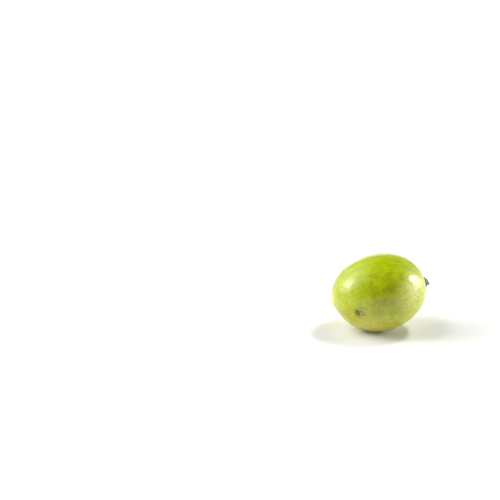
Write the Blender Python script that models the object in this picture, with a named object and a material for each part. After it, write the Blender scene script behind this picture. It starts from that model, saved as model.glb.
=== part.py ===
# Ceylon olive (Elaeocarpus serratus): one whole green fruit lying on its side, with the broken end
# of its stalk still in the stem end. Metres, +Z up.
# The fruit's own axis runs along X, with the pointed tip at -X and the stem end at +X, and it lies
# with the tip as its lower end. The origin is the centre of the small flat spot that it rests on.

from math import asin, atan2, cos, exp, pi, radians, sin

import bmesh
import bpy
from mathutils import Matrix, Vector

# Fruit
LENGTH = 0.0348  # tip pole to stem pole, without the nipple
DIAMETER = 0.0286  # at the widest place
TIP_TAPER = 0.022  # share by which the tip half is slimmer than a true ellipse
TIP_DROP = 10.6  # degrees by which the lying fruit's tip hangs below its stem end
FLAT_DEPTH = 0.0003  # skin pressed flat where the fruit rests

# The outline in the upright mid-plane swells a little with three sides and with four
THREE_SWELL = 0.010
THREE_TURN = 63.0
FOUR_SWELL = 0.010
FOUR_TURN = -83.0

# Nipple on the tip
NIPPLE_HEIGHT = 0.0009
NIPPLE_SPREAD = 8.6  # degrees from its middle to its flank, seen from the fruit's centre
NIPPLE_LIFT = 2.6  # degrees by which it stands above the fruit's own axis

# Basin at the stem end, and the socket in it that the stalk grows from
BASIN_DEPTH = 0.00045
BASIN_RADIUS = 0.0030
SOCKET_RADIUS = 0.0011
SOCKET_DEPTH = 0.0022
GAP = 0.0003  # between the stalk and the flesh

# Stalk stub, measured along the fruit's axis from the basin's floor
COLLAR_RADIUS = 0.0020
COLLAR_THICKNESS = 0.00045
NECK_RADIUS = 0.00105
FLARE_LENGTH = 0.00040
STUB_LENGTH = 0.0017
SEPAL_SCARS = 5
SEPAL_DEPTH = 0.07  # share of the collar's radius
BREAK_SLANT = 16.0  # degrees off square
NECK_BEND = 0.00022  # sideways at the broken end
PITH_RADIUS = 0.00045
PITH_DEPTH = 0.00012

# Facets
FRUIT_SIDES = 56
STALK_SIDES = 30
TIP_ZONE = 28.0  # degrees of close rings round the tip
TIP_RINGS = 12
MIDDLE_RINGS = 30
STEM_ZONE = 20.0
STEM_RINGS = 9

SKIN_COLOUR = (0.52, 0.58, 0.04)
BARK_COLOUR = (0.115, 0.082, 0.045)


def clear_scene():
    for old in list(bpy.data.objects):
        bpy.data.objects.remove(old)


def material(name, colour, roughness):
    made = bpy.data.materials.new(name)
    made.use_nodes = True
    shader = made.node_tree.nodes["Principled BSDF"]
    shader.inputs["Base Color"].default_value = (*colour, 1.0)
    shader.inputs["Roughness"].default_value = roughness
    shader.inputs["Metallic"].default_value = 0.0
    return made


def steps(first, last, count):
    return [first + (last - first) * i / count for i in range(count + 1)]


def turned_point(polar):
    # A point of the turned egg as (x, radius). polar runs from 0 at the tip to pi at the stem end.
    radius = DIAMETER / 2 * sin(polar) * (1 - TIP_TAPER * cos(polar))
    x = -LENGTH / 2 * cos(polar)
    if x > 0:
        x -= BASIN_DEPTH * exp(-((radius / BASIN_RADIUS) ** 2))
    return x, radius


def fruit_profile():
    lip = pi - asin(SOCKET_RADIUS / (DIAMETER / 2 * (1 + TIP_TAPER)))
    tip_end = radians(TIP_ZONE)
    stem_start = pi - radians(STEM_ZONE)
    polars = steps(0, tip_end, TIP_RINGS)
    polars += steps(tip_end, stem_start, MIDDLE_RINGS)[1:]
    polars += steps(stem_start, lip, STEM_RINGS)[1:]
    profile = [turned_point(polar) for polar in polars]
    lip_x = profile[-1][0]
    profile.append((lip_x - SOCKET_DEPTH, SOCKET_RADIUS))
    profile.append((lip_x - SOCKET_DEPTH, 0.0))
    return profile


def spun(profile, sides):
    # Turns a profile of (x, radius) points round the X axis into a closed surface.
    bm = bmesh.new()
    line = [bm.verts.new((x, 0.0, radius)) for x, radius in profile]
    edges = [bm.edges.new(pair) for pair in zip(line, line[1:])]
    bmesh.ops.spin(bm, geom=line + edges, axis=(1, 0, 0), cent=(0, 0, 0), angle=2 * pi, steps=sides,
                   use_merge=True)
    bmesh.ops.remove_doubles(bm, verts=bm.verts[:], dist=1e-7)
    bmesh.ops.dissolve_degenerate(bm, edges=bm.edges[:], dist=1e-7)
    bmesh.ops.recalc_face_normals(bm, faces=bm.faces[:])
    return bm


def grown(point):
    # Moves a point of the turned egg to where the grown fruit has it.
    seen = Vector((point.x / LENGTH, point.y / DIAMETER, point.z / DIAMETER)).normalized()
    turn = atan2(seen.z, seen.x)
    swell = THREE_SWELL * cos(3 * turn - radians(THREE_TURN))
    swell += FOUR_SWELL * cos(4 * turn - radians(FOUR_TURN))
    moved = point * (1 + swell * (seen.x ** 2 + seen.z ** 2))
    lift = radians(NIPPLE_LIFT)
    nipple = Vector((-cos(lift), 0.0, sin(lift)))
    away = seen.angle(nipple) / radians(NIPPLE_SPREAD)
    return moved + nipple * NIPPLE_HEIGHT * exp(-(away ** 2))


def filled(bm):
    # Closes the one opening that a cut has left, and gives its face.
    rim = [edge for edge in bm.edges if edge.is_boundary]
    return bmesh.ops.holes_fill(bm, edges=rim)["faces"][0]


def cut(bm, place, normal):
    # Takes away all that lies on the normal's side of a plane.
    bmesh.ops.bisect_plane(bm, geom=bm.verts[:] + bm.edges[:] + bm.faces[:], dist=1e-7,
                           plane_co=place, plane_no=normal, clear_outer=True)
    return filled(bm)


def finished(bm, name, look, parent):
    bmesh.ops.recalc_face_normals(bm, faces=bm.faces[:])
    mesh = bpy.data.meshes.new(name)
    bm.to_mesh(mesh)
    bm.free()
    mesh.shade_smooth()
    mesh.set_sharp_from_angle(angle=radians(35))
    mesh.materials.append(look)
    made = bpy.data.objects.new(name, mesh)
    made.parent = parent
    bpy.context.collection.objects.link(made)
    return made


def build_fruit(lean):
    # Gives the fruit's surface in its own frame and the middle of its flat spot.
    bm = spun(fruit_profile(), FRUIT_SIDES)
    for vert in bm.verts:
        vert.co = grown(vert.co)
    down = lean.transposed() @ Vector((0, 0, -1))
    reach = max(vert.co.dot(down) for vert in bm.verts)
    spot = cut(bm, down * (reach - FLAT_DEPTH), down)
    return bm, spot.calc_center_bounds()


def stalk_profile():
    # From the root in the socket, out over the collar, and along the neck past its broken end.
    root = GAP - SOCKET_DEPTH + GAP
    peg = SOCKET_RADIUS - GAP
    profile = [(root, 0.0), (root, peg), (GAP, peg)]
    rounding = COLLAR_THICKNESS / 2
    for turn in steps(-90, 60, 5):
        x = GAP + rounding * (1 + sin(radians(turn)))
        profile.append((x, COLLAR_RADIUS - rounding * (1 - cos(radians(turn)))))
    flare_start = profile[-1][0]
    shoulder = profile[-1][1]
    for along in steps(0, 1, 7)[1:]:
        x = flare_start + (STUB_LENGTH + NECK_RADIUS - flare_start) * along
        spread = exp(-(x - flare_start) / FLARE_LENGTH)
        profile.append((x, NECK_RADIUS + (shoulder - NECK_RADIUS) * spread))
    profile.append((profile[-1][0], 0.0))
    return profile


def build_stalk():
    # Gives the stub in the frame of its seat: the middle of the basin's floor, with +X outwards.
    bm = spun(stalk_profile(), STALK_SIDES)
    peg_end = SOCKET_RADIUS - GAP / 2
    for vert in bm.verts:
        radius = (vert.co.y ** 2 + vert.co.z ** 2) ** 0.5
        rim = max(0.0, (radius - peg_end) / (COLLAR_RADIUS - peg_end))
        scale = 1 + SEPAL_DEPTH * rim * (cos(SEPAL_SCARS * atan2(vert.co.z, vert.co.y)) - 1) / 2
        bend = NECK_BEND * max(0.0, vert.co.x / STUB_LENGTH) ** 2
        vert.co = Vector((vert.co.x, vert.co.y * scale + bend, vert.co.z * scale - bend))
    slant = radians(BREAK_SLANT)
    end = cut(bm, (STUB_LENGTH, 0, 0), (cos(slant), 0.0, sin(slant)))
    middle = end.calc_center_median()
    bmesh.ops.inset_region(bm, faces=[end], thickness=NECK_RADIUS - PITH_RADIUS, use_even_offset=True)
    for vert in end.verts:
        vert.co = middle + (vert.co - middle).normalized() * PITH_RADIUS
        vert.co.x -= PITH_DEPTH
    return bm


def main():
    clear_scene()
    lean = Matrix.Rotation(-radians(TIP_DROP), 3, "Y")
    fruit, spot = build_fruit(lean)
    lying = bpy.data.objects.new("lying", None)
    lying.rotation_euler = lean.to_euler()
    lying.location = -(lean @ spot)
    bpy.context.collection.objects.link(lying)
    finished(fruit, "fruit", material("green_skin", SKIN_COLOUR, 0.36), lying)
    stalk = finished(build_stalk(), "stalk", material("dry_bark", BARK_COLOUR, 0.85), lying)
    seat_x = turned_point(pi)[0]
    stalk.location = grown(Vector((seat_x, 0, 0)))


main()
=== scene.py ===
# Ceylon olive: a fine waxy skin and the dry end of its stalk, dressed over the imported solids.
# Metres, +Z up. The fruit lies along X with its pointed tip at -X, on the flat spot at the origin.
import random
from math import acos, asin, atan2, cos, exp, hypot, pi, radians, sin

import bmesh
import bpy
from mathutils import Matrix, Vector, kdtree, noise


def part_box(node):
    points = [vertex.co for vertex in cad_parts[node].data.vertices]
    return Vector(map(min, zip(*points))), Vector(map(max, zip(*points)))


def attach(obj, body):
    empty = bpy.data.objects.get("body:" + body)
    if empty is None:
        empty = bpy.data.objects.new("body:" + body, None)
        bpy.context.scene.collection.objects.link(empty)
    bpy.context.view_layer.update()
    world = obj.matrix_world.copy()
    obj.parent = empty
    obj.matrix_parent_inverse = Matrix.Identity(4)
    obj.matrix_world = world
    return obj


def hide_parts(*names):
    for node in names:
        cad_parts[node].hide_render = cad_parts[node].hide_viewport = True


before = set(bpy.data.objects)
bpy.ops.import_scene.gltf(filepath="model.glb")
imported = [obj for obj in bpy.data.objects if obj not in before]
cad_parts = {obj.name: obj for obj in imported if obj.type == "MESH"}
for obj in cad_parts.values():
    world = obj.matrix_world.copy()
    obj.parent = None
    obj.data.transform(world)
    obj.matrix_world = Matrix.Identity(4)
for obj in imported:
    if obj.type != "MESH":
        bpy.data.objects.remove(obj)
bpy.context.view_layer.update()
print("frame loaded:", ", ".join(sorted(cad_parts)))


# Small helpers

def linearColour(hexCode):
    # sRGB hex to the linear colour that a shader takes
    channels = []
    for start in (0, 2, 4):
        value = int(hexCode[start:start + 2], 16) / 255
        channels.append(value / 12.92 if value <= 0.04045 else ((value + 0.055) / 1.055) ** 2.4)
    return (*channels, 1.0)


def smoothStep(low, high, value):
    share = min(1.0, max(0.0, (value - low) / (high - low)))
    return share * share * (3 - 2 * share)


def ripple(point, size, shift):
    # Perlin noise from -1 to 1, with lumps about size metres across; each use has a shift of its own,
    # so that no two patterns lie on each other
    return noise.noise(point / size + Vector((shift, 1.7 * shift, -0.6 * shift)))


def directionAt(azimuth, elevation):
    # azimuth 0 is -Y and 90 is +X, as for the views; elevation is above the horizon
    a, e = radians(azimuth), radians(elevation)
    return Vector((sin(a) * cos(e), -cos(a) * cos(e), sin(e)))


def meshObject(bm, name, smooth=True):
    mesh = bpy.data.meshes.new(name)
    bm.to_mesh(mesh)
    bm.free()
    if smooth:
        mesh.shade_smooth()
    made = bpy.data.objects.new(name, mesh)
    bpy.context.scene.collection.objects.link(made)
    return made


def storeValues(piece, name, values):
    # one number a vertex, which the materials read by name
    layer = piece.data.attributes.new(name, "FLOAT", "POINT")
    layer.data.foreach_set("value", values)


def addNode(tree, kind, links=None, inputs=None, **settings):
    # a node with its settings, its links from other nodes and its own input values
    node = tree.nodes.new(kind)
    for name, value in settings.items():
        setattr(node, name, value)
    for key, value in (inputs or {}).items():
        node.inputs[key].default_value = value
    for key, source in (links or {}).items():
        tree.links.new(source, node.inputs[key])
    return node


def newMaterial(name):
    material = bpy.data.materials.new(name)
    material.use_nodes = True
    tree = material.node_tree
    return material, tree, tree.nodes["Principled BSDF"]


# The fruit's skin, in metres and degrees where nothing else is said

fruit = {
    "length": 0.0348,  # tip pole to stem pole, without the nipple
    "diameter": 0.0286,
    "tipTaper": 0.022,  # share by which the tip half is slimmer
    "tipDrop": 10.6,  # how far the tip hangs below the stem end
    "threeSwell": 0.010,  # uneven swelling with three sides and with four, and how each is turned
    "threeTurn": 63.0,
    "fourSwell": 0.010,
    "fourTurn": -83.0,
    "nippleHeight": 0.0009,
    "nippleSpread": 8.6,
    "nippleLift": 2.6,
    "basinDepth": 0.00045,
    "basinRadius": 0.0030,
    "splits": 7,  # of the icosphere that the skin starts from
    "fineWithin": {"wound": 0.0036, "tip": 0.0013, "stem": 0.0044},  # where the mesh is split further
    "fineRoundDots": 2.4,  # and round each dot, in its own radii
    "broadWave": (0.00007, 0.0085),  # height and width of the slow waves in the skin
    "fineWave": (0.000016, 0.0028),
    "styleScarRadius": 0.00038,
    "styleScarEdge": (0.55, 1.0),  # shares of its radius between which it fades
    "styleScarDepth": 0.00005,
    "paleTipAndGlintReach": 0.0026,  # how far the tip's pale colour goes, partly its own paleness and partly a painted highlight
    "pleats": 11,  # folds round the stalk
    "pleatHeight": 0.000022,
    "pleatWander": (3.0, 0.0030),  # how much they wander, in radians, and over what length
    "pleatsRise": (0.0012, 0.0022),  # from the stalk's middle outwards
    "pleatsFade": (0.0030, 0.0052),
    "stemRing": (0.0021, 0.0046),  # the brown ring is full within the first and gone at the second
    "stemRagged": (0.0009, 0.0012),  # how far that ring's edge wanders, and over what length
}

lean = Matrix.Rotation(-radians(fruit["tipDrop"]), 3, "Y")


def turnedPoint(seen):
    # the even egg, for a unit direction seen from its centre
    polar = acos(max(-1.0, min(1.0, -seen.x)))
    radius = fruit["diameter"] / 2 * sin(polar) * (1 - fruit["tipTaper"] * cos(polar))
    x = -fruit["length"] / 2 * cos(polar)
    if x > 0:
        x -= fruit["basinDepth"] * exp(-((radius / fruit["basinRadius"]) ** 2))
    across = hypot(seen.y, seen.z) or 1.0
    return Vector((x, seen.y / across * radius, seen.z / across * radius))


def nippleDirection():
    lift = radians(fruit["nippleLift"])
    return Vector((-cos(lift), 0.0, sin(lift)))


def grownPoint(point):
    # the same egg with its uneven swelling and its nipple
    length, width = fruit["length"], fruit["diameter"]
    seen = Vector((point.x / length, point.y / width, point.z / width)).normalized()
    turn = atan2(seen.z, seen.x)
    swell = fruit["threeSwell"] * cos(3 * turn - radians(fruit["threeTurn"]))
    swell += fruit["fourSwell"] * cos(4 * turn - radians(fruit["fourTurn"]))
    nipple = nippleDirection()
    away = seen.angle(nipple) / radians(fruit["nippleSpread"])
    grown = point * (1 + swell * (seen.x ** 2 + seen.z ** 2))
    return grown + nipple * fruit["nippleHeight"] * exp(-(away ** 2))


def placedFruit():
    # the smooth form as a bmesh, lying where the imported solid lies, and how far it was moved
    bm = bmesh.new()
    bmesh.ops.create_icosphere(bm, subdivisions=fruit["splits"], radius=1.0)
    for vert in bm.verts:
        vert.co = lean @ grownPoint(turnedPoint(vert.co.normalized()))
    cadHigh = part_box("fruit")[1]
    offset = cadHigh - Vector([max(vert.co[axis] for vert in bm.verts) for axis in range(3)])
    bmesh.ops.translate(bm, verts=bm.verts[:], vec=offset)
    return bm, offset


def refine(bm, isNear, rounds):
    # splits the triangles wherever isNear(place, step) holds, once for each round
    for step in range(rounds):
        near = {vert for vert in bm.verts if isNear(vert.co, step)}
        edges = [edge for edge in bm.edges if edge.verts[0] in near or edge.verts[1] in near]
        bmesh.ops.subdivide_edges(bm, edges=edges, cuts=1, use_grid_fill=True)
        bmesh.ops.triangulate(bm, faces=[face for face in bm.faces if len(face.verts) > 3])


blemish = {
    # an old corky wound low on the near side
    "place": Vector((-0.00809, -0.01144, 0.01111)),
    "reach": 0.0042,  # nothing of it lies further out
    "warp": (0.00022, 0.0007),  # raggedness of every edge, and its size
    "fineWarp": 0.4,  # share of it that comes again at a third of the size
    "lobes": [
        # millimetres to the right and up, radius, height in hundredths of one, darkness, paleness
        (-1.15, -0.30, 1.60, -11, 0.80, 0.0),
        (-1.05, 0.20, 0.75, -9, 1.00, 0.0),
        (-0.90, -0.85, 0.70, -7, 0.95, 0.0),
        (-1.45, 0.75, 0.50, -6, 0.65, 0.0),
        (-1.15, -1.45, 0.55, -8, 0.70, 0.0),
        (0.10, 0.60, 0.40, -7, 0.75, 0.0),
        (1.00, 0.15, 0.50, -5, 0.35, 0.0),
        (0.90, -0.75, 0.60, -6, 0.40, 0.0),
        (1.75, -0.85, 0.38, -8, 0.70, 0.0),
        (-0.20, 1.95, 0.50, -4, 0.45, 0.0),
        (0.55, 1.85, 0.45, -4, 0.40, 0.0),
        (-0.50, -2.20, 0.60, -4, 0.30, 0.0),
        (-1.00, 1.45, 0.28, 7, 0.0, 0.7),
        (-0.60, 0.90, 0.30, 8, 0.0, 0.9),
        (-0.10, -0.30, 0.30, 8, 0.0, 0.9),
        (-0.05, -1.05, 0.30, 7, 0.0, 0.8),
        (0.30, -1.60, 0.32, 6, 0.0, 0.7),
        (0.75, -2.30, 0.42, 7, 0.0, 0.8),
        (1.60, 0.90, 0.34, 6, 0.0, 0.6),
        (1.85, 0.05, 0.30, 5, 0.0, 0.6),
        (0.65, 1.15, 0.40, 4, 0.0, 0.5),
        (-2.80, -1.40, 0.50, 4, 0.0, 0.4),
    ],
    "lobeEdge": (0.45, 1.15),  # shares of its radius between which a lobe fades
    "darkHides": 0.5,  # share of the paleness that full darkness takes
    "halo": 2.9,  # millimetres, how far the skin round it is dulled
    "haloEdge": (0.45, 1.0),  # shares of the halo between which it fades
    "wrinkles": 11,
    "wrinkleHeight": 0.00002,
    "wrinkleWander": (3.0, 0.0014),  # how much they wander, in radians, and over what length
    "wrinklesRise": (0.2, 0.6),  # shares of the halo
}


def woundAt(point, right, up):
    # height, darkness, paleness and dullness of the wound at a point of the skin
    apart = point - blemish["place"]
    if apart.length > blemish["reach"]:
        return 0.0, 0.0, 0.0, 0.0
    warp, size = blemish["warp"]
    fineWarp = blemish["fineWarp"] * warp
    a = apart.dot(right) + warp * ripple(point, size, 5.0) + fineWarp * ripple(point, size / 3, 2.0)
    b = apart.dot(up) + warp * ripple(point, size, 9.0) + fineWarp * ripple(point, size / 3, 6.0)
    a *= 1000  # millimetres from here on
    b *= 1000
    height, dark, pale = 0.0, 0.0, 0.0
    for across, above, radius, rise, darkness, paleness in blemish["lobes"]:
        share = 1 - smoothStep(*blemish["lobeEdge"], hypot(a - across, b - above) / radius)
        height += rise * 1e-5 * share  # from hundredths of a millimetre to metres
        dark = max(dark, darkness * share)
        pale = max(pale, paleness * share)
    gap = hypot(a, b) / blemish["halo"]
    dull = 1 - smoothStep(*blemish["haloEdge"], gap)
    bend, length = blemish["wrinkleWander"]
    wrinkle = cos(blemish["wrinkles"] * atan2(b, a) + bend * ripple(point, length, 4.0))
    wrinkle *= dull * smoothStep(*blemish["wrinklesRise"], gap)
    pale *= 1 - blemish["darkHides"] * dark
    return height + blemish["wrinkleHeight"] * wrinkle, dark, pale, dull


specks = {
    # corky dots and pale flecks that show on the near side, each with its radius
    "near": [
        (Vector((0.0022, -0.0100, 0.0247)), 0.00026),
        (Vector((-0.0030, -0.0091, 0.0244)), 0.00020),
        (Vector((0.0009, -0.0102, 0.0243)), 0.00016),
        (Vector((0.0070, -0.0047, 0.0275)), 0.00022),
        (Vector((0.0156, -0.0009, 0.0231)), 0.00028),
        (Vector((0.0101, -0.0108, 0.0209)), 0.00024),
        (Vector((0.0000, -0.0130, 0.0083)), 0.00022),
        (Vector((-0.0084, -0.0089, 0.0062)), 0.00018),
        (Vector((-0.0053, -0.0100, 0.0054)), 0.00020),
        (Vector((-0.0009, -0.0111, 0.0052)), 0.00018),
    ],
    "pale": [
        (Vector((0.0040, -0.0063, 0.0273)), 0.00024),
        (Vector((0.0074, -0.0100, 0.0237)), 0.00026),
        (Vector((-0.0025, -0.0116, 0.0218)), 0.00024),
        (Vector((0.0048, -0.0081, 0.0261)), 0.00018),
        (Vector((-0.0041, -0.0100, 0.0231)), 0.00018),
    ],
    "scattered": 26,  # more dots over the rest of the skin
    "seed": 11,
    "apart": 0.004,
    "nearSide": 0.004,  # nearer and higher than this, only the dots above are set
    "sizes": (0.00012, 0.00030),
    "height": 0.00003,
    "reach": 1.6,  # in radii, as are the next two
    "ragged": 0.3,
    "edge": (0.45, 1.15),  # where a dot starts to fade and where it has gone
}


def scatteredSpecks(bm):
    chance = random.Random(specks["seed"])
    bm.verts.ensure_lookup_table()
    found = list(specks["near"])
    while len(found) < len(specks["near"]) + specks["scattered"]:
        place = bm.verts[chance.randrange(len(bm.verts))].co.copy()
        clearOfOthers = all((place - other).length > specks["apart"] for other, size in found)
        onNearSide = place.y < -specks["nearSide"] and place.z > specks["nearSide"]
        if clearOfOthers and not onNearSide:
            found.append((place, chance.uniform(*specks["sizes"])))
    return found


patches = {
    # soft patches of another colour, three of them painted sheen or painted shade: their middle, and how far
    # they reach
    "shoulder": (Vector((0.0, -0.0040, -0.0040)), 0.0112),  # painted sheen, pale, its middle given from the stalk
    "paintedCheekSheen": (Vector((0.0103, -0.0118, 0.0175)), 0.0059),  # painted sheen, pale, by the stalk end
    "paintedBellyShade": (Vector((0.0018, -0.0138, 0.0166)), 0.0086),  # painted shade, dull olive, in the middle
    "underside": (Vector((-0.0046, -0.0104, 0.0060)), 0.0052),  # straw yellow, under the wound
    "ragged": (0.0022, 0.0045),  # how far their edges wander, and over what length
    "rim": 0.12,  # share at which a patch ends
}


def patchShare(gap, reach):
    # a soft round patch that really ends, so that it leaves the green beside it pure
    return max(0.0, (exp(-(gap / reach) ** 2) - patches["rim"]) / (1 - patches["rim"]))


def buildSkin():
    bm, offset = placedFruit()
    stemPole = lean @ grownPoint(turnedPoint(Vector((1, 0, 0)))) + offset
    tip = lean @ grownPoint(turnedPoint(nippleDirection())) + offset
    darkDots = scatteredSpecks(bm)
    dots = darkDots + specks["pale"]
    tree = kdtree.KDTree(len(dots))
    for index, (place, size) in enumerate(dots):
        tree.insert(place, index)
    tree.balance()
    within = fruit["fineWithin"]

    def isNear(place, step):
        close = 1 - 0.25 * step
        if (place - blemish["place"]).length < within["wound"] * close:
            return True
        if (place - tip).length < within["tip"] * close:
            return True
        if step == 0 and (place - stemPole).length < within["stem"]:
            return True
        found, index, distance = tree.find(place)
        return distance < fruit["fineRoundDots"] * dots[index][1] * close

    refine(bm, isNear, 2)
    bm.normal_update()
    facing = min(bm.verts, key=lambda vert: (vert.co - blemish["place"]).length).normal
    up = (Vector((0, 0, 1)) - facing * facing.z).normalized()
    right = up.cross(facing)

    masks = {}
    outward = [vert.normal.copy() for vert in bm.verts]
    for vert, normal in zip(bm.verts, outward):
        point = vert.co.copy()
        height = fruit["broadWave"][0] * ripple(point, fruit["broadWave"][1], 3.1)
        height += fruit["fineWave"][0] * ripple(point, fruit["fineWave"][1], 8.4)
        rise, dark, pale, dull = woundAt(point, right, up)

        # small dots, each a low wart, corky or pale
        found, index, distance = tree.find(point)
        size = dots[index][1]
        dotted = 0.0
        if distance < specks["reach"] * size:
            away = distance / size + specks["ragged"] * ripple(point, size, 6.0)
            dotted = 1 - smoothStep(*specks["edge"], away)
        fleck = dotted if index >= len(darkDots) else 0.0

        # style scar at the very tip, and the skin drawn in round the stalk
        noseGap = (point - tip).length
        style = 1 - smoothStep(*fruit["styleScarEdge"], noseGap / fruit["styleScarRadius"])
        stemGap = (point - stemPole).length
        bend, length = fruit["pleatWander"]
        turn = atan2(point.y, point.z - stemPole.z)
        pleats = cos(fruit["pleats"] * turn + bend * ripple(point, length, 4.0))
        pleats *= smoothStep(*fruit["pleatsRise"], stemGap) * (1 - smoothStep(*fruit["pleatsFade"], stemGap))

        height += rise + specks["height"] * dotted
        height += fruit["pleatHeight"] * pleats - fruit["styleScarDepth"] * style
        vert.co = point + normal * height
        vert.co.z = max(vert.co.z, 0.0)

        ragged, length = fruit["stemRagged"]
        stem = 1 - smoothStep(*fruit["stemRing"], stemGap + ragged * ripple(point, length, 7.0))
        # the shoulder and cheek patches are painted sheen
        shift, reach = patches["shoulder"]
        values = {"dark": dark, "pale": max(pale, fleck), "dull": dull, "speck": dotted - fleck, "stem": stem,
                  "paleTipAndGlint": exp(-(noseGap / fruit["paleTipAndGlintReach"]) ** 2), "scar": style,
                  "shoulder": patchShare((point - stemPole - shift).length, reach)}
        ragged, length = patches["ragged"]
        wander = ragged * ripple(point, length, 2.7)
        # the belly patch among these is painted shade
        for name in ("paintedCheekSheen", "paintedBellyShade", "underside"):
            middle, reach = patches[name]
            values[name] = patchShare((point - middle).length + wander, reach)
        for name, value in values.items():
            masks.setdefault(name, []).append(value)
    bmesh.ops.recalc_face_normals(bm, faces=bm.faces[:])
    piece = meshObject(bm, "fruit_skin")
    for name, values in masks.items():
        storeValues(piece, name, values)
    return piece, stemPole, lean @ Vector((0, 0, 0)) + offset


skinLook = {
    "green": "a7bb02",  # sRGB, the upper side
    "yellow": "b7b00c",  # the underside: the skin is yellower towards the bottom
    "turnsAt": (0.0035, 0.0190),  # heights above the floor between which it turns, in metres
    "turnWander": 0.016,  # metres from the lowest to the highest that the border wanders
    "noises": {
        # size in millimetres, octaves and roughness
        "border": (7.0, 3.0, 0.5),
        "mottle": (0.8, 3.0, 0.6),
        "cloud": (2.6, 3.0, 0.6),
        "streaks": (0.8, 2.0, 0.5),
        "gloss": (2.6, 4.0, 0.5),
        "wax": (0.9, 3.0, 0.5),
    },
    "ramps": {"mottle": (0.42, 0.76), "cloud": (0.40, 0.66), "streaks": (0.54, 0.74)},  # start and full
    "streakStretch": 0.16,  # scale of the streaks along the fruit
    "poreSpacing": 1.25,  # millimetres
    "poreWidth": 0.25,
    "poreEdge": (0.4, 1.1),  # shares of that width between which a pore fades
    "layers": [
        # what each colour follows, its share and its sRGB value, from the first laid on to the last
        # painted shade: the dull olive belly in the middle
        ("paintedBellyShade", 0.68, "8a8608"),
        # painted sheen: the pale shoulder and cheek
        ("shoulder", 0.80, "e6e880"),
        ("paintedCheekSheen", 0.74, "e6e880"),
        ("underside", 0.50, "dccb74"),
        ("mottle", 0.75, "8f9a08"),
        ("cloud", 0.50, "c4cc0e"),
        ("streaks", 0.38, "8d8a08"),
        ("pores", 0.50, "ccd540"),
        # the tip's pale colour: partly its own paleness, partly a painted highlight
        ("paleTipAndGlint", 0.90, "efeaae"),
        ("scar", 1.0, "4f4420"),
        ("stem", 0.75, "8f8236"),
        ("dull", 0.60, "a59a3c"),
        ("dark", 1.0, "6c6018"),
        ("pale", 1.0, "c8bc5e"),
        ("speck", 1.0, "4f4420"),
    ],
    "roughness": 0.36,
    "roughnessSpan": 0.05,  # up and down from place to place
    "corkRoughness": 0.8,
    "dryRing": 0.7,  # share of its wax that the ring round the stalk has lost
    "ior": 1.44,  # plant wax
    "coat": 0.60,
    "coatRoughness": 0.12,
    "sunkenLight": 0.18,  # share of the light that sinks in
    "sinkRatio": (1.0, 0.9, 0.25),  # how far red, green and blue go, as shares of the depth
    "sinkDepth": 0.0012,  # metres
    "waxBump": 0.00007,  # metres
    "poreDip": 0.25,
}


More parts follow.
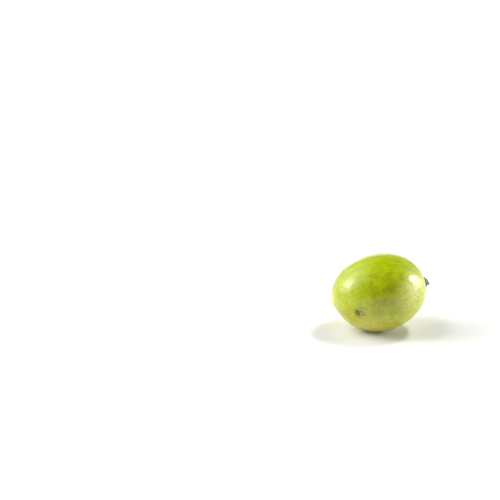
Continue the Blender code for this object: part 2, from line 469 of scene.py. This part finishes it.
def waxyFruitSkin():
    # Ripe-green drupe skin: smooth wax over living tissue, so a soft broad gloss with a sharper core,
    # light that sinks in a little, pale pores a pin's width apart and a skin yellower towards the bottom.
    material, tree, shader = newMaterial("waxy_fruit_skin")
    coords = addNode(tree, "ShaderNodeTexCoord").outputs["Object"]
    along = addNode(tree, "ShaderNodeMapping", {"Vector": coords},
                    {"Rotation": (0.0, radians(fruit["tipDrop"]), 0.0),
                     "Scale": (skinLook["streakStretch"], 1.0, 1.0)}).outputs["Vector"]
    noises = {}
    for name, (size, octaves, rough) in skinLook["noises"].items():
        way = along if name == "streaks" else coords
        noises[name] = addNode(tree, "ShaderNodeTexNoise", {"Vector": way},
                               {"Scale": 1000 / size, "Detail": octaves, "Roughness": rough}).outputs["Fac"]

    # where the colours lie: patterns in the skin and pores here, the rest stored on the mesh
    masks = {}
    for name, (start, full) in skinLook["ramps"].items():
        masks[name] = addNode(tree, "ShaderNodeMapRange", {"Value": noises[name]},
                              {"From Min": start, "From Max": full},
                              interpolation_type="SMOOTHSTEP").outputs["Result"]
    cells = addNode(tree, "ShaderNodeTexVoronoi", {"Vector": coords},
                    {"Scale": 1000 / skinLook["poreSpacing"]}).outputs["Distance"]
    inner, outer = (skinLook["poreWidth"] / skinLook["poreSpacing"] * edge for edge in skinLook["poreEdge"])
    masks["pores"] = addNode(tree, "ShaderNodeMapRange", {"Value": cells},
                             {"From Min": inner, "From Max": outer, "To Min": 1.0, "To Max": 0.0},
                             interpolation_type="SMOOTHSTEP").outputs["Result"]

    # green above and yellow below, with the border drawn out in wide lobes
    low, high = skinLook["turnsAt"]
    height = addNode(tree, "ShaderNodeSeparateXYZ", {"Vector": coords}).outputs["Z"]
    wander = addNode(tree, "ShaderNodeMath", {0: noises["border"]},
                     {1: skinLook["turnWander"], 2: -skinLook["turnWander"] / 2},
                     operation="MULTIPLY_ADD").outputs[0]
    wandered = addNode(tree, "ShaderNodeMath", {0: height, 1: wander}, operation="ADD").outputs[0]
    upperSide = addNode(tree, "ShaderNodeMapRange", {"Value": wandered}, {"From Min": low, "From Max": high},
                        interpolation_type="SMOOTHSTEP").outputs["Result"]
    skinColour = addNode(tree, "ShaderNodeMix", {0: upperSide},
                         {6: linearColour(skinLook["yellow"]), 7: linearColour(skinLook["green"])},
                         data_type="RGBA").outputs[2]
    for name, share, colour in skinLook["layers"]:
        if name not in masks:
            masks[name] = addNode(tree, "ShaderNodeAttribute", attribute_name=name).outputs["Fac"]
        cover = addNode(tree, "ShaderNodeMath", {0: masks[name]}, {1: share}, operation="MULTIPLY").outputs[0]
        skinColour = addNode(tree, "ShaderNodeMix", {0: cover, 6: skinColour}, {7: linearColour(colour)},
                             data_type="RGBA").outputs[2]
    tree.links.new(skinColour, shader.inputs["Base Color"])

    # cork and the dry ring round the stalk have lost their wax
    dryRing = addNode(tree, "ShaderNodeMath", {0: masks["stem"]}, {1: skinLook["dryRing"]},
                      operation="MULTIPLY").outputs[0]
    corky = addNode(tree, "ShaderNodeMath", {0: masks["dark"], 1: masks["speck"]},
                    operation="MAXIMUM").outputs[0]
    corky = addNode(tree, "ShaderNodeMath", {0: corky, 1: dryRing}, operation="MAXIMUM").outputs[0]
    gloss = addNode(tree, "ShaderNodeMapRange", {"Value": noises["gloss"]},
                    {"To Min": skinLook["roughness"] - skinLook["roughnessSpan"],
                     "To Max": skinLook["roughness"] + skinLook["roughnessSpan"]}).outputs["Result"]
    roughness = addNode(tree, "ShaderNodeMix", {0: corky, 2: gloss},
                        {3: skinLook["corkRoughness"]}).outputs[0]
    tree.links.new(roughness, shader.inputs["Roughness"])
    waxLeft = addNode(tree, "ShaderNodeMapRange", {"Value": corky},
                      {"To Min": skinLook["coat"], "To Max": 0.0}).outputs["Result"]
    tree.links.new(waxLeft, shader.inputs["Coat Weight"])
    shader.inputs["IOR"].default_value = skinLook["ior"]
    shader.inputs["Coat Roughness"].default_value = skinLook["coatRoughness"]
    shader.inputs["Subsurface Weight"].default_value = skinLook["sunkenLight"]
    shader.inputs["Subsurface Radius"].default_value = skinLook["sinkRatio"]
    shader.inputs["Subsurface Scale"].default_value = skinLook["sinkDepth"]

    # the wax is a little uneven, and dips at each pore
    dips = addNode(tree, "ShaderNodeMath", {0: masks["pores"]}, {1: skinLook["poreDip"]},
                   operation="MULTIPLY").outputs[0]
    waxHeight = addNode(tree, "ShaderNodeMath", {0: noises["wax"], 1: dips}, operation="SUBTRACT").outputs[0]
    bump = addNode(tree, "ShaderNodeBump", {"Height": waxHeight},
                   {"Distance": skinLook["waxBump"], "Strength": 1.0})
    for socket in ("Normal", "Coat Normal"):
        tree.links.new(bump.outputs["Normal"], shader.inputs[socket])
    return material


skin, stemPole, fruitCentre = buildSkin()
skin.data.materials.append(waxyFruitSkin())
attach(skin, "root")
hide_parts("fruit")
print("skin:", len(skin.data.polygons), "triangles")


# The broken stalk, along the fruit's axis from the basin's floor

stalk = {
    "sides": 90,
    "rootDepth": 0.0008,  # sunk into the flesh, out of sight
    "rootRadius": 0.0011,
    "footRadius": 0.0013,  # under the collar
    "footDepth": 0.0001,  # below the collar
    "collarRadius": 0.0020,
    "collarTop": 0.00075,
    "collarFoot": 0.00003,
    "collarSteps": 12,
    "collarTurn": 150,  # degrees that its round rim turns through
    "collarBulge": 0.6,  # 1 would be a full half circle
    "neckRadius": 0.00105,
    "neckSteps": 24,
    "flareLength": 0.00040,
    "length": 0.0017,
    "sepalScars": 5,
    "sepalDepth": 0.07,  # share of the collar's radius
    "sepalsFrom": 0.0010,  # the radius where they start
    "slant": 16.0,
    "bend": 0.00022,
    "breakRings": 9,  # rings in the broken face
    "breakRim": 0.6,  # how far in the first ring lies, in steps
    "breakDepth": 0.00006,  # how near to the cut a place counts as torn
    "grooves": 13,
    "grooveDepth": 0.00005,
    "grooveWander": (2.5, 0.0011),  # how much they wander, in radians, and over what length
    "groovesRise": (0.0003, 0.0009),
    "warts": (0.00005, 0.00035),  # height and size
    "fineWarts": (0.00003, 0.00012),
    "splinters": 0.00020,
    "splinterWidth": 0.00016,
    "splinterTop": 0.7,  # share of their height that a fibre's ridge stands out by
    "splinterFall": 2.2,  # how steeply it falls away beside the ridge
    "pithRadius": 0.00042,
    "pithDepth": 0.00022,
    "pithEdge": (0.7, 1.2),  # shares of its radius between which it fades
    "pithRagged": (0.3, 0.0003),
}


def stalkProfile():
    # from the root, out over the collar's round rim, and along the neck past its broken end
    root, foot, neck = stalk["rootDepth"], stalk["collarFoot"], stalk["neckRadius"]
    rounding = (stalk["collarTop"] - foot) / 2
    points = [(-root, 0.0), (-root, stalk["rootRadius"]), (foot - stalk["footDepth"], stalk["footRadius"])]
    for step in range(stalk["collarSteps"] + 1):
        turn = radians(-90 + stalk["collarTurn"] * step / stalk["collarSteps"])
        radius = stalk["collarRadius"] - stalk["collarBulge"] * rounding * (1 - cos(turn))
        points.append((foot + rounding * (1 + sin(turn)), radius))
    start, shoulder = points[-1]
    end = stalk["length"] + neck
    for step in range(1, stalk["neckSteps"] + 1):
        x = start + (end - start) * step / stalk["neckSteps"]
        points.append((x, neck + (shoulder - neck) * exp(-(x - start) / stalk["flareLength"])))
    points.append((end, 0.0))
    return points


def brokenEnd(bm):
    # cuts the neck off at a slant, then rings the cut face so that it can splinter
    slant = radians(stalk["slant"])
    endways = Vector((cos(slant), 0.0, sin(slant)))
    bmesh.ops.bisect_plane(bm, geom=bm.verts[:] + bm.edges[:] + bm.faces[:], dist=1e-7,
                           plane_co=(stalk["length"], 0, 0), plane_no=endways, clear_outer=True)
    rim = [edge for edge in bm.edges if edge.is_boundary]
    face = bmesh.ops.holes_fill(bm, edges=rim)["faces"][0]
    middle = face.calc_center_median()
    for step in range(stalk["breakRings"]):
        left = stalk["breakRings"] - step - stalk["breakRim"]
        bmesh.ops.inset_region(bm, faces=[face], thickness=0.00001)
        for vert in face.verts:
            vert.co = middle + (vert.co - middle) * left / (left + 1)
    bmesh.ops.poke(bm, faces=[face])
    return middle, endways


def barkPush(point, turn, onBreak):
    # how far the bark stands out at a place: warts, fine warts and grooves along the neck
    height, size = stalk["warts"]
    fineHeight, fineSize = stalk["fineWarts"]
    bend, length = stalk["grooveWander"]
    groove = cos(stalk["grooves"] * turn + bend * ripple(point, length, 2.0))
    groove *= (1 - onBreak) * smoothStep(*stalk["groovesRise"], point.x)
    push = height * ripple(point, size, 4.0) + fineHeight * ripple(point, fineSize, 9.0)
    return push + stalk["grooveDepth"] * groove


def buildStalk(seat):
    bm = bmesh.new()
    line = [bm.verts.new((x, 0.0, radius)) for x, radius in stalkProfile()]
    edges = [bm.edges.new(pair) for pair in zip(line, line[1:])]
    bmesh.ops.spin(bm, geom=line + edges, axis=(1, 0, 0), cent=(0, 0, 0), angle=2 * pi,
                   steps=stalk["sides"], use_merge=True)
    bmesh.ops.remove_doubles(bm, verts=bm.verts[:], dist=1e-7)
    bmesh.ops.dissolve_degenerate(bm, edges=bm.edges[:], dist=1e-7)
    bmesh.ops.recalc_face_normals(bm, faces=bm.faces[:])
    middle, endways = brokenEnd(bm)
    bm.normal_update()
    broken, hollow = [], []
    for vert in bm.verts:
        point = vert.co.copy()
        radius = hypot(point.y, point.z)
        turn = atan2(point.z, point.y)
        onBreak = 1 - smoothStep(0.0, stalk["breakDepth"], abs((point - middle).dot(endways)))

        # the collar's lobes and the neck's bend
        rim = max(0.0, (radius - stalk["sepalsFrom"]) / (stalk["collarRadius"] - stalk["sepalsFrom"]))
        scale = 1 + stalk["sepalDepth"] * rim * (cos(stalk["sepalScars"] * turn) - 1) / 2
        bend = stalk["bend"] * max(0.0, point.x / stalk["length"]) ** 2

        # torn fibres and the hollow pith in the broken face
        ragged, size = stalk["pithRagged"]
        pithGap = radius / stalk["pithRadius"] + ragged * ripple(point, size, 1.0)
        pith = 1 - smoothStep(*stalk["pithEdge"], pithGap)
        fibre = abs(ripple(Vector((0.0, point.y, point.z)), stalk["splinterWidth"], 5.0))
        torn = stalk["splinters"] * (stalk["splinterTop"] - stalk["splinterFall"] * fibre)
        drop = onBreak * (torn - stalk["pithDepth"] * pith)

        side = Vector((0.0, vert.normal.y, vert.normal.z))
        grown = Vector((point.x + drop, point.y * scale + bend, point.z * scale - bend))
        vert.co = lean @ (grown + side * barkPush(point, turn, onBreak)) + seat
        broken.append(onBreak)
        hollow.append(pith * onBreak)
    bmesh.ops.recalc_face_normals(bm, faces=bm.faces[:])
    piece = meshObject(bm, "stalk_bark")
    storeValues(piece, "broken", broken)
    storeValues(piece, "pith", hollow)
    return piece


barkLook = {
    "bark": "9c967c",
    "darkBark": "6a6450",
    "dryWood": "a08c66",
    "pith": "4a3a26",
    "fibreWidth": 0.10,  # millimetres
    "fibreStretch": 0.22,  # scale of the fibres along the stalk
    "blotchSize": 0.7,  # millimetres
    "shadeRamp": (0.16, 0.36),  # tone where the dark bark ends and where the light one is full
    "roughness": 0.86,
    "ior": 1.5,
    "bump": 0.00004,  # metres
}


def dryBark():
    # Dried fruit stalk: dull grey-brown bark with fibres along it, and torn pale wood at the break.
    material, tree, shader = newMaterial("dry_stalk_bark")
    coords = addNode(tree, "ShaderNodeTexCoord").outputs["Object"]
    along = addNode(tree, "ShaderNodeMapping", {"Vector": coords},
                    {"Rotation": (0.0, radians(fruit["tipDrop"]), 0.0),
                     "Scale": (barkLook["fibreStretch"], 1.0, 1.0)}).outputs["Vector"]
    fibres = addNode(tree, "ShaderNodeTexNoise", {"Vector": along},
                     {"Scale": 1000 / barkLook["fibreWidth"], "Detail": 4.0, "Roughness": 0.6}).outputs["Fac"]
    blotches = addNode(tree, "ShaderNodeTexNoise", {"Vector": coords},
                       {"Scale": 1000 / barkLook["blotchSize"], "Detail": 4.0}).outputs["Fac"]
    tone = addNode(tree, "ShaderNodeMath", {0: fibres, 1: blotches}, operation="MULTIPLY").outputs[0]
    low, high = barkLook["shadeRamp"]
    shade = addNode(tree, "ShaderNodeMapRange", {"Value": tone}, {"From Min": low, "From Max": high},
                    interpolation_type="SMOOTHSTEP").outputs["Result"]
    bark = addNode(tree, "ShaderNodeMix", {0: shade},
                   {6: linearColour(barkLook["darkBark"]), 7: linearColour(barkLook["bark"])},
                   data_type="RGBA").outputs[2]
    wood = addNode(tree, "ShaderNodeMix", {0: shade},
                   {6: linearColour(barkLook["bark"]), 7: linearColour(barkLook["dryWood"])},
                   data_type="RGBA").outputs[2]
    broken = addNode(tree, "ShaderNodeAttribute", attribute_name="broken").outputs["Fac"]
    colour = addNode(tree, "ShaderNodeMix", {0: broken, 6: bark, 7: wood}, data_type="RGBA").outputs[2]
    pith = addNode(tree, "ShaderNodeAttribute", attribute_name="pith").outputs["Fac"]
    colour = addNode(tree, "ShaderNodeMix", {0: pith, 6: colour}, {7: linearColour(barkLook["pith"])},
                     data_type="RGBA").outputs[2]
    tree.links.new(colour, shader.inputs["Base Color"])
    shader.inputs["Roughness"].default_value = barkLook["roughness"]
    shader.inputs["IOR"].default_value = barkLook["ior"]
    bump = addNode(tree, "ShaderNodeBump", {"Height": fibres},
                   {"Distance": barkLook["bump"], "Strength": 1.0})
    tree.links.new(bump.outputs["Normal"], shader.inputs["Normal"])
    return material


stub = buildStalk(stemPole)
stub.data.materials.append(dryBark())
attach(stub, "root")
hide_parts("stalk")
print("stalk:", len(stub.data.polygons), "faces")


# Floor, light and camera

studio = {
    "floorSize": 12.0,
    "floorColour": "f0f0ee",
    "floorRoughness": 0.9,
    "backdropReach": 2.2,
    "backdropColour": "fefefd",
    "skyHigh": 0.03,  # radiance straight up
    "skyLow": 0.60,  # low over the table
    "skyFades": 0.22,  # height of the direction, from 0 to 1, at which the low light has gone
    "glows": [
        # soft windows and walls in the room: azimuth, elevation, radiance, and the degrees from its
        # middle within which each is full and beyond which it is gone
        (-97, 31, 6.4, 3, 18),
        (-97, 20, 3.8, 4, 25),
        (-96, 46, 1.9, 6, 28),
        (-134, 32, 1.5, 4, 36),
        (94, 2, 5.2, 4, 26),
        (72, 6, 1.8, 4, 28),
        (118, 26, 0.55, 4, 30),
        (170, 2, 1.3, 14, 27),
    ],
    "suns": [
        # name, azimuth, elevation, strength, width in degrees, lights matt surfaces, shows in the gloss
        ("overheadRight", 114, 61, 1.46, 12, True, False),
        ("overheadLeft", -90, 60, 0.55, 14, True, False),
        ("windowRight", 84, 25, 0.72, 13, True, True),
        ("windowPane", 91, 22, 0.66, 18, False, True),
    ],
}

photo = {
    # the fruit's centre in the photograph's 500 by 500 frame, and how the camera saw it
    "frame": 500,
    "centreX": 378.9,
    "centreY": 292.0,
    "focalPixels": 900,
    "sensorWidth": 36,  # millimetres
    "azimuth": -15,
    "elevation": 20,
    "distance": 0.3356,
}


def addFloor():
    bm = bmesh.new()
    bmesh.ops.create_grid(bm, x_segments=1, y_segments=1, size=studio["floorSize"] / 2)
    floor = meshObject(bm, "floor", smooth=False)
    material, tree, shader = newMaterial("matt_white_board")
    shader.inputs["Base Color"].default_value = linearColour(studio["floorColour"])
    shader.inputs["Roughness"].default_value = studio["floorRoughness"]
    floor.data.materials.append(material)


def addBackdrop():
    # a white screen all round, for the camera alone: the room's windows light the fruit through it
    bm = bmesh.new()
    bmesh.ops.create_icosphere(bm, subdivisions=4, radius=studio["backdropReach"])
    bmesh.ops.reverse_faces(bm, faces=bm.faces[:])
    backdrop = meshObject(bm, "backdrop")
    material, tree, shader = newMaterial("lit_white_paper")
    shader.inputs["Base Color"].default_value = linearColour("000000")
    shader.inputs["Emission Color"].default_value = linearColour(studio["backdropColour"])
    shader.inputs["Emission Strength"].default_value = 1.0
    backdrop.data.materials.append(material)
    for rays in ("visible_diffuse", "visible_glossy", "visible_transmission", "visible_shadow"):
        setattr(backdrop, rays, False)


def addWorld():
    # dark overhead, a little light round the horizon, with the glows added
    world = bpy.data.worlds.new("soft_room")
    world.use_nodes = True
    bpy.context.scene.world = world
    tree = world.node_tree
    back = tree.nodes["Background"]
    way = addNode(tree, "ShaderNodeTexCoord").outputs["Generated"]
    height = addNode(tree, "ShaderNodeSeparateXYZ", {"Vector": way}).outputs["Z"]
    strength = addNode(tree, "ShaderNodeMapRange", {"Value": height},
                       {"From Min": 0.0, "From Max": studio["skyFades"],
                        "To Min": studio["skyLow"], "To Max": studio["skyHigh"]},
                       interpolation_type="SMOOTHSTEP").outputs["Result"]
    for azimuth, elevation, radiance, inner, outer in studio["glows"]:
        near = addNode(tree, "ShaderNodeVectorMath", {0: way}, {1: directionAt(azimuth, elevation)},
                       operation="DOT_PRODUCT").outputs["Value"]
        glow = addNode(tree, "ShaderNodeMapRange", {"Value": near},
                       {"From Min": cos(radians(outer)), "From Max": cos(radians(inner)),
                        "To Max": radiance}, interpolation_type="SMOOTHSTEP").outputs["Result"]
        strength = addNode(tree, "ShaderNodeMath", {0: strength, 1: glow}, operation="ADD").outputs[0]
    back.inputs["Color"].default_value = linearColour("ffffff")
    tree.links.new(strength, back.inputs["Strength"])


def addLights():
    for name, azimuth, elevation, strength, width, matt, glossy in studio["suns"]:
        light = bpy.data.lights.new(name, "SUN")
        light.energy = strength
        light.angle = radians(width)
        holder = bpy.data.objects.new(name, light)
        holder.rotation_euler = directionAt(azimuth, elevation).to_track_quat("Z", "Y").to_euler()
        holder.visible_diffuse = matt
        holder.visible_glossy = glossy
        bpy.context.scene.collection.objects.link(holder)


def addCamera(target):
    # the fruit's centre lands on its pixel, with the optical axis through the frame's middle
    offX = photo["centreX"] - photo["frame"] / 2
    offY = photo["centreY"] - photo["frame"] / 2
    focal = photo["focalPixels"]
    ray = hypot(focal, offX, offY)
    rise = radians(photo["elevation"])
    pitch = asin(ray * sin(rise) / hypot(focal, offY)) - atan2(offY, focal)
    yaw = atan2(offX, focal * cos(pitch) - offY * sin(pitch))
    heading = radians(photo["azimuth"]) + yaw
    forward = Vector((-sin(heading) * cos(pitch), cos(heading) * cos(pitch), -sin(pitch)))
    right = forward.cross(Vector((0, 0, 1))).normalized()
    above = right.cross(forward)
    camera = bpy.data.cameras.new("camera")
    camera.sensor_width = photo["sensorWidth"]
    camera.lens = photo["sensorWidth"] * focal / photo["frame"]
    camera.clip_start = 0.01
    camera.clip_end = 50
    holder = bpy.data.objects.new("camera", camera)
    holder.matrix_world = Matrix((right, above, -forward)).transposed().to_4x4()
    holder.location = target + directionAt(photo["azimuth"], photo["elevation"]) * photo["distance"]
    bpy.context.scene.collection.objects.link(holder)
    bpy.context.scene.camera = holder


addFloor()
addBackdrop()
addWorld()
addLights()
addCamera(fruitCentre)
bpy.context.scene.view_settings.view_transform = "Standard"
print("studio set")
